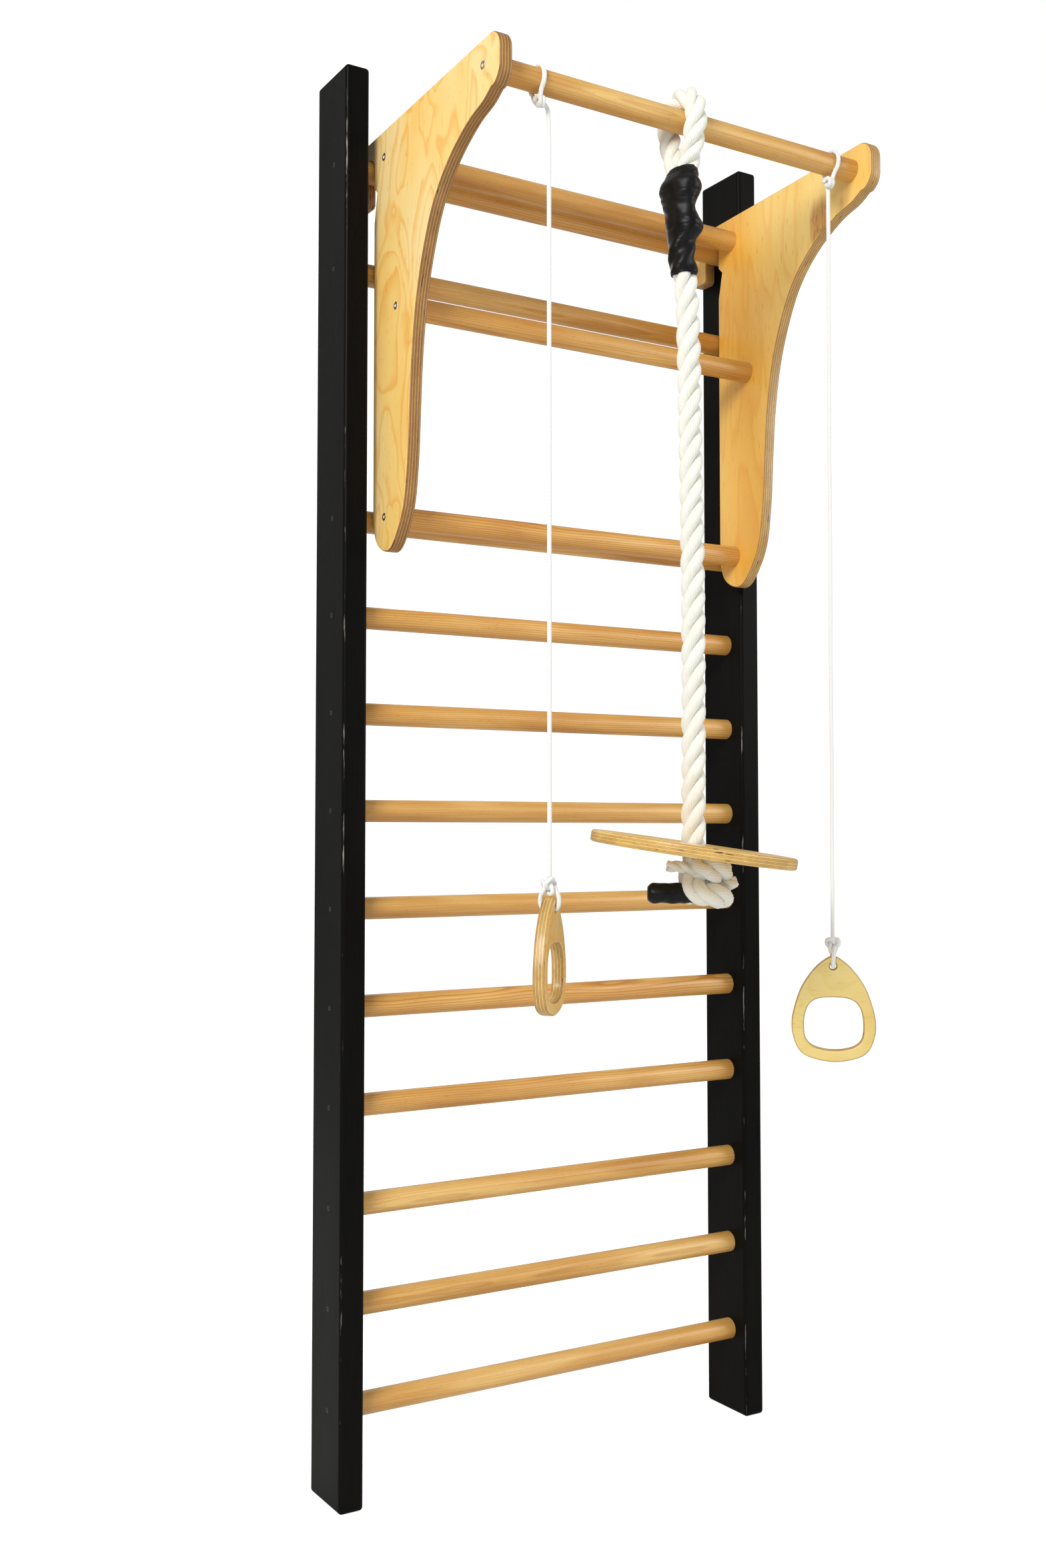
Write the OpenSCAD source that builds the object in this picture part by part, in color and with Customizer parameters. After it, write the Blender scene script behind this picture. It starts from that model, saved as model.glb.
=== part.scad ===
// Gymnastic wall bars with a hook-on pull-up unit, a disc swing and two hand grips.
// +Z is up, the wall is the plane y = 0, the front faces -Y, and x = 0 is midway between the posts.

/* [Ladder] */
// Height of the posts
post_h = 2200; // [1800:10:2700]
// Thickness of a post, across the ladder
post_t = 40; // [32:1:60]
// Depth of a post, from the wall to its front face
post_d = 108; // [95:1:140]
// Overall width over both posts
ladder_w = 810; // [640:5:1100]
// Radius along a post's long edges
post_edge = 6; // [2:0.5:10]
// Diameter of a rung
rung_d = 35; // [28:0.5:44]
// Distance from the front of a post back to the rungs' axis
rung_setback = 44.7; // [40:0.1:55]
// Depth of a rung's blind hole in a post
rung_seat = 20; // [12:1:26]
// Height of the lowest rung's axis
foot_gap = 141.5; // [100:0.5:200]
// Distance from the top of the posts down to the top rung's axis
top_margin = 146; // [110:1:200]
// Distance between the two top rungs
top_gap = 165; // [130:1:220]
// Distance between the second and the third rung, the open part of the ladder
upper_gap = 392; // [320:1:420]

/* [Pull-up unit] */
// Thickness of a side panel
panel_t = 21; // [15:1:27]
// Play between the unit and the two posts together
unit_play = 25; // [6:1:60]
// How far right of the middle the unit hangs
unit_shift = 8; // [-3:0.5:8]
// Diameter of the pull-up bar and the cross bars
bar_d = 35; // [28:0.5:38]
// Distance from the top rung's axis forward to the pull-up bar's axis
reach = 361; // [330:1:430]
// Height of the pull-up bar's axis over the top rung's axis
rise = 23; // [10:0.5:30]
// Gap between a hook and the rung that it sits on
hook_gap = 0.3; // [0.2:0.1:2]
// How far the hook's rear leg reaches below the top rung's axis
hook_drop = 47; // [30:1:60]
// Diameter of the panel screws' heads
screw_head_d = 12.5; // [9:0.5:14]
// Diameter of the rung screws' heads
rung_screw_head_d = 8; // [6:0.5:11]
// Diameter of a screw's shank
screw_d = 5; // [4:0.5:6]
// Length of a screw
screw_l = 60; // [45:1:80]

/* [Disc swing] */
// Diameter of the swing rope
rope_d = 37; // [30:0.5:40]
// Diameter of the seat disc
seat_d = 306; // [260:2:360]
// Thickness of the seat disc
seat_t = 18; // [15:1:27]
// Diameter of the hole that the rope runs through
seat_hole_d = 44; // [42:0.5:60]
// Height of the seat disc's middle below the pull-up bar's axis
seat_drop = 1090.5; // [1050:0.5:1110]
// Tilt of the seat disc on its knot
seat_tilt = 8.4; // [0:0.1:12]
// Distance of the rope from the unit's middle
rope_offset = 7.5; // [-20:0.5:20]

/* [Hand grips] */
// Diameter of a grip's cord
cord_d = 6.5; // [5:0.5:8]
// Thickness of a grip
grip_t = 18; // [15:1:21]
// Diameter of the cord's hole in a grip
grip_hole_d = 10; // [9:0.5:12]
// Distance from the left panel's inner face to the left cord
left_inset = 88; // [80:1:140]
// Distance from the right panel's inner face to the right cord
right_inset = 53; // [45:1:120]
// Height of the left grip's cord hole below the pull-up bar's axis
left_drop = 1171; // [1100:1:1250]
// Height of the right grip's cord hole below the pull-up bar's axis
right_drop = 1273; // [1200:1:1350]
// Turn of the left grip about its cord
left_turn = 44; // [-90:1:90]
// Turn of the right grip about its cord
right_turn = -40; // [-90:1:90]

/* [Hidden] */
$fn = 64;

glue = 0.05;                        // radial room of a glued or driven fit
seat_gap = 0.3;                     // room between a piece and what it rests on
fine = 32;                          // sides of a sphere inside a hull
cord_sides = 10;
rope_sides = 12;
arc_steps = 8;
wrap_steps = 14;                    // steps of a rope or cord over the bar

// Ladder
inner_w = ladder_w - 2 * post_t;
rung_y = rung_setback - post_d;
rung_r = rung_d / 2;
top_z = post_h - top_margin;
second_z = top_z - top_gap;
third_z = second_z - upper_gap;
low_rungs = 10;
pitch = (third_z - foot_gap) / (low_rungs - 1);
rung_z = concat([top_z, second_z], [for (i = [0 : low_rungs - 1]) third_z - i * pitch]);

// Pull-up unit
unit_w = inner_w - unit_play;
unit_x = unit_shift;
bar_l = unit_w - 2 * panel_t;
bar_r = bar_d / 2;
bar_y = rung_y - reach;
bar_z = top_z + rise;
back_u = rung_r + hook_gap;         // the panel's back edge, forward of the rungs' axis
wall_room = 8;                      // room between the hook and the wall
rear_u = rung_y + wall_room;        // the back of the hook's rear leg
hook_top = 45.5;                    // the hook's top over the top rung's axis
leg_corner = 5;                     // the cut corners of the rear leg's end
notch = [10, -42, -88];             // the notch under the hook: depth, top and foot
end_r = 27;                         // radius of the panel's tip
// Axes of the bars, forward of and above the top rung's axis
bar_places = [[reach, rise], [52.5, 7], [94.5, -239.5], [57.7, -558]];

// Disc swing and grips
rope_x = unit_x + rope_offset;
rope_r = rope_d / 2;
cord_r = cord_d / 2;
left_x = unit_x - bar_l / 2 + left_inset;
right_x = unit_x + bar_l / 2 - right_inset;
seat_z = bar_z - seat_drop;
low_side = -40;                     // heading of the seat's lower side

function unit(v) = v / norm(v);

// Points of a smooth curve through p, with n steps from each point to the next
function knot_at(p, i, closed) = closed ? p[(i + len(p)) % len(p)] : p[max(0, min(len(p) - 1, i))];
function blend_at(a, b, c, d, t) =
  (2 * b + (c - a) * t + (2 * a - 5 * b + 4 * c - d) * t * t + (3 * b - a - 3 * c + d) * t * t * t) / 2;
function smooth(p, n, closed = false) = concat(
  [for (i = [0 : len(p) - (closed ? 1 : 2)], j = [0 : n - 1])
    blend_at(knot_at(p, i - 1, closed), knot_at(p, i, closed),
             knot_at(p, i + 1, closed), knot_at(p, i + 2, closed), j / n)],
  closed ? [] : [p[len(p) - 1]]);

// Points on an arc about c from angle a to angle b
function arc(c, r, a, b, n) =
  [for (i = [0 : n]) let (w = a + (b - a) * i / n) c + r * [cos(w), sin(w)]];

// A round tube along the points p, with a ring at each of them
function tangent(p, i) = unit(p[min(i + 1, len(p) - 1)] - p[max(i - 1, 0)]);
function square_to(v, t) = unit(v - t * (v * t));
function carried(p, v, i = 0) = i == len(p) ? [] :
  let (s = square_to(v, tangent(p, i))) concat([s], carried(p, s, i + 1));
module skin(rings, n) {
  last = len(rings) - 1;
  polyhedron(
    points = [for (ring = rings, v = ring) v],
    faces = concat(
      [[for (k = [0 : n - 1]) k]],
      [for (i = [0 : last - 1], k = [0 : n - 1])
        [i * n + k, (i + 1) * n + k, (i + 1) * n + (k + 1) % n, i * n + (k + 1) % n]],
      [[for (k = [n - 1 : -1 : 0]) last * n + k]]),
    convexity = 6);
}
module tube(p, r, n) {
  s = carried(p, [1, 0.01, 0.02]);
  skin([for (i = [0 : len(p) - 1])
    let (b = cross(tangent(p, i), s[i]))
      [for (k = [0 : n - 1]) p[i] + r * (cos(360 * k / n) * s[i] + sin(360 * k / n) * b)]], n);
}
// A closed skin over level oval rings, each [x, y, z, half width in x, half width in y]
module loft(levels, n) {
  skin([for (v = levels)
    [for (k = [0 : n - 1]) [v[0] + v[3] * cos(360 * k / n), v[1] + v[4] * sin(360 * k / n), v[2]]]], n);
}
// Points over the bar from the front at angle a to the back at angle b, the x moving from x0 to x1
function over_bar(x0, x1, r, a, b, n) = [for (i = [0 : n])
  let (w = a + (b - a) * i / n) [x0 + (x1 - x0) * i / n, bar_y - r * cos(w), bar_z + r * sin(w)]];

// Ladder
module on_x(x, y, z) { translate([x, y, z]) rotate([0, 90, 0]) children(); }
module post(side) {
  x = side * (ladder_w - post_t) / 2;
  difference() {
    translate([x - post_t / 2, -post_d, 0]) union() {
      translate([post_edge, 0, 0]) cube([post_t - 2 * post_edge, post_d, post_h]);
      translate([0, post_edge, 0]) cube([post_t, post_d - 2 * post_edge, post_h]);
      for (u = [post_edge, post_t - post_edge], v = [post_edge, post_d - post_edge])
        translate([u, v, 0]) cylinder(r = post_edge, h = post_h);
    }
    for (z = rung_z) {
      on_x(side * (inner_w / 2 + rung_seat / 2 - 0.5), rung_y, z)
        cylinder(r = rung_r + glue, h = rung_seat + 1 + 2 * glue, center = true);
      screw_room(side * ladder_w / 2, -side, rung_y, z, rung_screw_head_d);
    }
  }
}
module rung(i) {
  color("burlywood") difference() {
    on_x(0, rung_y, rung_z[i - 1]) cylinder(r = rung_r, h = inner_w + 2 * rung_seat, center = true);
    for (side = [-1, 1]) screw_room(side * ladder_w / 2, -side, rung_y, rung_z[i - 1], rung_screw_head_d);
  }
}
// A countersunk screw that is driven in the direction way from a face at x
module screw_shape(x, way, y, z, head, grow) {
  depth = (head - screw_d) / 2;
  translate([x, y, z]) rotate([0, way * 90, 0]) union() {
    cylinder(r1 = head / 2 + grow, r2 = screw_d / 2 + grow, h = depth + grow);
    cylinder(r = screw_d / 2 + grow, h = screw_l + grow);
  }
}
module screw_room(x, way, y, z, head) { screw_shape(x, way, y, z, head, glue); }
module screw(x, way, y, z, head) {
  socket_r = head * 0.24;
  difference() {
    screw_shape(x + way * glue, way, y, z, head, 0);
    translate([x - way, y, z]) rotate([0, way * 90, 0]) cylinder(r = socket_r, h = head * 0.2 + 1, $fn = 6);
  }
}
module rung_screws(side) {
  color("dimgray") for (z = rung_z) screw(side * ladder_w / 2, -side, rung_y, z, rung_screw_head_d);
}

// Pull-up unit: the panel's outline is drawn as [forward of, above] the top rung's axis
module panel_outline() {
  slot_top = arc([0, 0], back_u, 180, 0, 2 * arc_steps);
  front = smooth([
    [reach + 22.8, rise - 40], [reach, rise - 52], [317.7, -42], [261.7, -74], [216.7, -119],
    [187, -174], [164, -240], [150, -315], [143, -390], [137, -474], [125, -545],
    [101.7, -588], [77.7, -611], [52, -610], [29, -594], [back_u, -566]], 5);
  polygon(concat(
    [[rear_u, hook_top]],
    arc([reach + 20, rise + 11], end_r, 88, 0, arc_steps),
    arc([reach + 18, rise - 13], end_r + 2, 0, -68, arc_steps),
    front,
    [[back_u, notch[2]], [back_u + notch[0], notch[1]], [back_u, notch[1] + notch[0]]],
    [for (i = [len(slot_top) - 1 : -1 : 0]) slot_top[i]],
    [[-back_u, leg_corner - hook_drop], [-back_u - leg_corner, -hook_drop],
     [rear_u + leg_corner, -hook_drop], [rear_u, leg_corner - hook_drop]]));
}
module side_panel(side) {
  outer = unit_x + side * unit_w / 2;
  color("goldenrod") difference() {
    translate([outer - (side > 0 ? panel_t : 0), rung_y, top_z])
      rotate([90, 0, 90]) mirror([1, 0, 0]) linear_extrude(panel_t) panel_outline();
    for (p = bar_places) screw_room(outer, -side, rung_y - p[0], top_z + p[1], screw_head_d);
  }
}
module unit_bar(i) {
  p = bar_places[i];
  color("burlywood") difference() {
    on_x(unit_x, rung_y - p[0], top_z + p[1]) cylinder(r = bar_r, h = bar_l, center = true);
    for (side = [-1, 1])
      screw_room(unit_x + side * unit_w / 2, -side, rung_y - p[0], top_z + p[1], screw_head_d);
  }
}
module panel_screws(side) {
  color("silver") for (p = bar_places)
    screw(unit_x + side * unit_w / 2, -side, rung_y - p[0], top_z + p[1], screw_head_d);
}

// Disc swing
eye_r = bar_r + rope_r + 0.5;
eye_x = rope_x - 14.5;              // the eye sits a little left of the seat
eye_path = concat(
  [[eye_x - 1, bar_y - 19, bar_z - 76], [eye_x - 1, bar_y - 24, bar_z - 52], [eye_x, bar_y - 33, bar_z - 26]],
  over_bar(eye_x, eye_x, eye_r, -12, 192, wrap_steps),
  [[eye_x, bar_y + 33, bar_z - 26], [eye_x - 1, bar_y + 24, bar_z - 52],
   [eye_x - 1, bar_y + 19, bar_z - 76]]);
sleeve_levels = [for (v = [
  [-15.5, -68, 17, 33], [-15.5, -74, 21, 37], [-17.5, -88, 24.5, 39], [-18.5, -106, 25.5, 38],
  [-19.5, -131, 21.5, 31], [-13.5, -157, 25, 33.5], [-16, -181, 20, 22.5], [-16, -208, 19.5, 20.5],
  [-14, -230, 19, 20], [-13.5, -234, 16, 16]])
  [rope_x + v[0], bar_y, bar_z + v[1], v[2], v[3]]];
neck_r = 20;
neck_low = seat_t / 2 + 18;         // the knot's narrow top, below the seat's middle
rope_path_end = -seat_drop - neck_low + neck_r + seat_gap;
knot_r = 36.5;
knot_low = seat_t / 2 + 41.5;       // the knot's middle, below the seat's
knot_out = 20.5;                    // how far the knot leans to its fuller side
tail_way = 149;                     // heading of the knot's loose end
tail_r = 15;
tail_ends = [10, 68];               // the tail sleeve's two ends, from the rope's axis
knot_side = -31;                    // heading of the knot's fuller side
rope_path = [for (p = [
  [-14, -222], [-9, -250], [-6, -290], [-4, -360], [-3, -440], [-1.5, -520], [0, -600], [1, -680],
  [1.5, -760], [1.5, -840], [1, -920], [0.5, -990], [0, -1040], [0, -1075], [0, rope_path_end]])
  [rope_x + p[0], bar_y, bar_z + p[1]]];
module rope_eye() { color("ivory") tube(eye_path, rope_r, rope_sides); }
module rope_sleeve() { color("black") loft(sleeve_levels, 20); }
module swing_rope() { color("ivory") tube(rope_path, rope_r, rope_sides); }
module seat_disc() {
  edge = 4;
  color("goldenrod") translate([rope_x, bar_y, seat_z]) rotate([0, 0, low_side]) rotate([0, seat_tilt, 0])
    rotate_extrude($fn = 96) polygon(concat(
      [[seat_hole_d / 2, -seat_t / 2]],
      arc([seat_d / 2 - edge, edge - seat_t / 2], edge, -90, 0, arc_steps),
      arc([seat_d / 2 - edge, seat_t / 2 - edge], edge, 0, 90, arc_steps),
      [[seat_hole_d / 2, seat_t / 2]]));
}
module rope_knot() {
  color("ivory") translate([rope_x, bar_y, seat_z]) hull() {
    translate([0, 0, -neck_low]) sphere(r = neck_r, $fn = fine);
    rotate([0, 0, knot_side]) translate([knot_out, 0, -knot_low]) sphere(r = knot_r, $fn = fine);
  }
}
module rope_tail_sleeve() {
  edge = 4;
  color("black") translate([rope_x, bar_y, seat_z - knot_low - 12]) rotate([0, 0, tail_way])
    rotate([0, 90, 0]) rotate_extrude() polygon(concat(
      [[0, tail_ends[0]], [tail_r, tail_ends[0]]],
      arc([tail_r - edge, tail_ends[1] - edge], edge, 0, 90, arc_steps),
      [[0, tail_ends[1]]]));
}

// Hand grips: a cord's place is given from the pull-up bar's axis
function at(x, p) = [x + p[0], bar_y + p[1], bar_z + p[2]];
function left_cord_path() = concat(
  [at(left_x, [-23, -13, -29])],
  over_bar(left_x - 21, left_x - 19, bar_r + cord_r + seat_gap, -50, 230, wrap_steps),
  [for (p = [[-20, 7, -27], [-16, 2, -34], [-9, -1, -32], [-3, -1, -38], [-1, 0, -50], [0, 0, -70],
    [0, 0, -160], [0, 0, -300], [0, 0, -460], [0, 0, -620], [0, 0, -780], [0, 0, -940]]) at(left_x, p)],
  [at(left_x, [0, 0, -left_drop + 45 + seat_gap])]);
function right_cord_path() = concat(
  [at(right_x, [2, -12, -29])],
  over_bar(right_x + 6, right_x + 14, bar_r + cord_r + seat_gap, -50, 230, wrap_steps),
  [for (p = [[9, 8, -27], [5, 3, -36], [4, 0, -46], [4, 0, -70], [4, 0, -160], [3, 0, -300], [2, 0, -460],
    [2, 0, -620], [1, 0, -780], [1, 0, -940], [0, 0, -1100]]) at(right_x, p)],
  [at(right_x, [0, 0, -right_drop + 45 + seat_gap])]);
module left_cord() { color("white") tube(left_cord_path(), cord_r, cord_sides); }
module right_cord() { color("white") tube(right_cord_path(), cord_r, cord_sides); }
module bar_knot(x, a, b) {
  color("white") hull() {
    translate(at(x, a)) sphere(r = 8, $fn = 16);
    translate(at(x, b)) sphere(r = 7.5, $fn = 16);
  }
}
module left_bar_knot() { bar_knot(left_x, [-26, -8, -30], [-13, -7, -34]); }
module right_bar_knot() { bar_knot(right_x, [-4, -7, -30], [6, -5, -34]); }

// A grip's own frame has its origin at the middle of the cord hole, its face across Y
module at_grip(x, drop, turn) { translate([x, bar_y, bar_z - drop]) rotate([0, 0, turn]) children(); }
grip_side = [
  [16.5, 7.6], [31, -6], [46, -27], [55, -47], [62.5, -73],
  [64.5, -90], [63, -107], [53.5, -130], [35, -142]];
hole_side = [
  [20, -49.5], [33, -55], [41, -66], [44.8, -81], [45, -101], [41.5, -114], [31.7, -123], [15, -128]];
module both_sides(top, side, bottom, n) {
  polygon(smooth(concat(
    [[0, top]], side, [[0, bottom]],
    [for (i = [len(side) - 1 : -1 : 0]) [-side[i][0], side[i][1]]]), n, true));
}
module grip() {
  color("goldenrod") rotate([90, 0, 0]) difference() {
    linear_extrude(grip_t, center = true) difference() {
      both_sides(16, grip_side, -148, 5);
      both_sides(-48, hole_side, -129, 4);
    }
    cylinder(r = grip_hole_d / 2, h = grip_t + 2, center = true);
  }
}
// The cord's end below its knot: down one face of the grip, through the hole and up the other face
loop_y = grip_t / 2 + cord_r + 1;
loop_path = [
  [3, -6, 30], [1, -loop_y + 1, 18], [0, -loop_y, 8], [0, -loop_y + 2.5, 1], [0, -grip_t / 2 + 1, 0], [0, 0, 0],
  [0, grip_t / 2 - 1, 0], [0, loop_y - 2.5, 1], [0, loop_y, 8], [-1, loop_y - 1, 18], [-3, 6, 30],
  [2, 10, 38], [12, 12, 34], [24, 13, 28], [36, 14, 22]];
module grip_loop() { color("white") tube(loop_path, cord_r, cord_sides); }
module grip_knot() {
  color("white") hull() {
    translate([0, -4, 28]) sphere(r = 9, $fn = 16);
    translate([0, 3, 35.5]) sphere(r = 9.5, $fn = 16);
  }
}
module left_grip() { at_grip(left_x, left_drop, left_turn) grip(); }
module right_grip() { at_grip(right_x, right_drop, right_turn) grip(); }
module left_grip_loop() { at_grip(left_x, left_drop, left_turn) grip_loop(); }
module right_grip_loop() { at_grip(right_x, right_drop, right_turn) grip_loop(); }
module left_grip_knot() { at_grip(left_x, left_drop, left_turn) grip_knot(); }
module right_grip_knot() { at_grip(right_x, right_drop, right_turn) grip_knot(); }

color("#1b1b1b") post(-1);  // left_post
color("#1b1b1b") post(1);  // right_post
rung(1);  // rung_01
rung(2);  // rung_02
rung(3);  // rung_03
rung(4);  // rung_04
rung(5);  // rung_05
rung(6);  // rung_06
rung(7);  // rung_07
rung(8);  // rung_08
rung(9);  // rung_09
rung(10);  // rung_10
rung(11);  // rung_11
rung(12);  // rung_12
rung_screws(-1);  // left_rung_screws
rung_screws(1);  // right_rung_screws
side_panel(-1);  // left_side_panel
side_panel(1);  // right_side_panel
unit_bar(0);  // pull_up_bar
unit_bar(1);  // upper_cross_bar
unit_bar(2);  // middle_cross_bar
unit_bar(3);  // lower_cross_bar
panel_screws(-1);  // left_panel_screws
panel_screws(1);  // right_panel_screws
rope_eye();
rope_sleeve();
swing_rope();
rope_knot();
rope_tail_sleeve();
seat_disc();
left_cord();
left_bar_knot();
left_grip_knot();
left_grip_loop();
left_grip();
right_cord();
right_bar_knot();
right_grip_knot();
right_grip_loop();
right_grip();
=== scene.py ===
import math
import bmesh
import bpy
from mathutils import Euler, Matrix, Vector, noise


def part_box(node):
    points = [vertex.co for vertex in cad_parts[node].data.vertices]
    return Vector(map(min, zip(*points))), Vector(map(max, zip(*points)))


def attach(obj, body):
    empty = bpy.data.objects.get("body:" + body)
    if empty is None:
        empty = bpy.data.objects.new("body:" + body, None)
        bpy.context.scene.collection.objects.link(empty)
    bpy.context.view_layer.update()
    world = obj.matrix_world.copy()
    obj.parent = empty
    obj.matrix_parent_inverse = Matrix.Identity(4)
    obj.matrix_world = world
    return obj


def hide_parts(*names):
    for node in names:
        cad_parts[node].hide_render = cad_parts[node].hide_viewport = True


# Wall bars with a hooked-on pull-up unit, a rope swing and two hand grips.
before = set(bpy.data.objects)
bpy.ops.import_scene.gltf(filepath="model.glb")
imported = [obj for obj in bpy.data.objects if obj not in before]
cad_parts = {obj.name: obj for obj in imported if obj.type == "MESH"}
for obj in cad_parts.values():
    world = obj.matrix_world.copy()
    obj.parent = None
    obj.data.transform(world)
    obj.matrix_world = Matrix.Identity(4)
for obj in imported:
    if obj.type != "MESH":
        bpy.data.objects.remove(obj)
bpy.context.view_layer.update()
mm = 0.001


def middle(node):
    low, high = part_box(node)
    return (low + high) / 2


# camera
cameraView = {
    "place": (-1.4180, -2.3000, 1.0127),
    "headingDeg": 31.22,      # right of straight ahead
    "riseDeg": 2.63,
    "lensMm": 36.47,
    "shiftX": 0.0009,
    "shiftY": -0.0160,
}


def placeInScene(name, data):
    piece = bpy.data.objects.new(name, data)
    bpy.context.scene.collection.objects.link(piece)
    return piece


def buildCamera(view):
    data = bpy.data.cameras.new("viewCamera")
    data.lens = view["lensMm"]
    data.sensor_width = 36
    data.shift_x = view["shiftX"]
    data.shift_y = view["shiftY"]
    camera = placeInScene("viewCamera", data)
    camera.location = view["place"]
    camera.rotation_euler = Euler((math.radians(90 + view["riseDeg"]), 0, -math.radians(view["headingDeg"])))
    bpy.context.scene.camera = camera


buildCamera(cameraView)
print("camera ready")


# meshes
def meshObject(name, points, faces, material):
    mesh = bpy.data.meshes.new(name)
    mesh.from_pydata([tuple(p) for p in points], [], faces)
    mesh.validate()
    mesh.polygons.foreach_set("use_smooth", [True] * len(mesh.polygons))
    if material is not None:
        mesh.materials.append(material)
    return placeInScene(name, mesh)


def pathObject(points):
    mesh = bpy.data.meshes.new("path")
    mesh.from_pydata([tuple(p) for p in points], [(i, i + 1) for i in range(len(points) - 1)], [])
    return placeInScene("path", mesh)


# points on a smooth curve through the given ones, about one step apart
def smoothPath(points, step):
    p = [Vector(q) for q in points]
    fine = []
    for i in range(len(p) - 1):
        a, b, c, d = p[max(i - 1, 0)], p[i], p[i + 1], p[min(i + 2, len(p) - 1)]
        count = max(2, int((c - b).length / step))
        for j in range(count):
            t = j / count
            fine.append(0.5 * (2 * b + (c - a) * t + (2 * a - 5 * b + 4 * c - d) * t * t
                               + (3 * b - a - 3 * c + d) * t ** 3))
    fine.append(p[-1])
    return fine


# geometry nodes
def newTree(name, sizes):
    tree = bpy.data.node_groups.new(name, "GeometryNodeTree")
    tree.interface.new_socket("Geometry", in_out="INPUT", socket_type="NodeSocketGeometry")
    tree.interface.new_socket("Geometry", in_out="OUTPUT", socket_type="NodeSocketGeometry")
    tree.interface.new_socket("Material", in_out="INPUT", socket_type="NodeSocketMaterial")
    for key, value in sizes.items():
        kind = "NodeSocketInt" if isinstance(value, int) else "NodeSocketFloat"
        tree.interface.new_socket(key, in_out="INPUT", socket_type=kind).default_value = value
    return tree, tree.nodes.new("NodeGroupInput").outputs, tree.nodes.new("NodeGroupOutput").inputs[0]


def addNode(tree, kind, feeds=(), **settings):
    node = tree.nodes.new(kind)
    for key, value in settings.items():
        setattr(node, key, value)
    feed(tree, node, dict(feeds))
    return node


# each input of a node takes a plain value or another node's output
def feed(tree, node, feeds):
    for key, value in feeds.items():
        if isinstance(value, bpy.types.NodeSocket):
            tree.links.new(value, node.inputs[key])
        else:
            node.inputs[key].default_value = value


def maths(tree, operation, *values):
    return addNode(tree, "ShaderNodeMath", dict(enumerate(values)), operation=operation).outputs[0]


def times(tree, a, b):
    return maths(tree, "MULTIPLY", a, b)


def plus(tree, a, b):
    return maths(tree, "ADD", a, b)


def minus(tree, a, b):
    return maths(tree, "SUBTRACT", a, b)


def shared(tree, a, b):
    return maths(tree, "DIVIDE", a, b)


def vectors(tree, operation, *values):
    node = addNode(tree, "ShaderNodeVectorMath", dict(enumerate(values)), operation=operation)
    return node.outputs[0]


def scaled(tree, vector, factor):
    return addNode(tree, "ShaderNodeVectorMath", {0: vector, "Scale": factor}, operation="SCALE").outputs[0]


def stored(tree, geometry, name, value):
    feeds = {"Geometry": geometry, "Name": name, "Value": value}
    return addNode(tree, "GeometryNodeStoreNamedAttribute", feeds, data_type="FLOAT").outputs[0]


def recalled(tree, name):
    return addNode(tree, "GeometryNodeInputNamedAttribute", {"Name": name}, data_type="FLOAT").outputs[0]


def stepped(tree, line, step):
    feeds = {"Curve": line, "Length": step}
    return addNode(tree, "GeometryNodeResampleCurve", feeds, mode="LENGTH").outputs[0]


def tubed(tree, line, ring):
    feeds = {"Curve": line, "Profile Curve": ring, "Fill Caps": True}
    return addNode(tree, "GeometryNodeCurveToMesh", feeds).outputs[0]


def closeTree(tree, geometry, material, sink):
    smooth = addNode(tree, "GeometryNodeSetShadeSmooth", {"Geometry": geometry}).outputs[0]
    whole = addNode(tree, "GeometryNodeRealizeInstances", {"Geometry": smooth}).outputs[0]
    dressed = addNode(tree, "GeometryNodeSetMaterial", {"Geometry": whole, "Material": material}).outputs[0]
    tree.links.new(dressed, sink)


def runTree(source, tree, name, material, sizes):
    modifier = source.modifiers.new("build", "NODES")
    modifier.node_group = tree
    values = dict(sizes, Material=material)
    for item in tree.interface.items_tree:
        if item.in_out == "INPUT" and item.name in values:
            modifier[item.identifier] = values[item.name]
    mesh = bpy.data.meshes.new_from_object(source.evaluated_get(bpy.context.evaluated_depsgraph_get()))
    source.modifiers.remove(modifier)
    bpy.data.objects.remove(source)
    return placeInScene(name, mesh)


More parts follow.
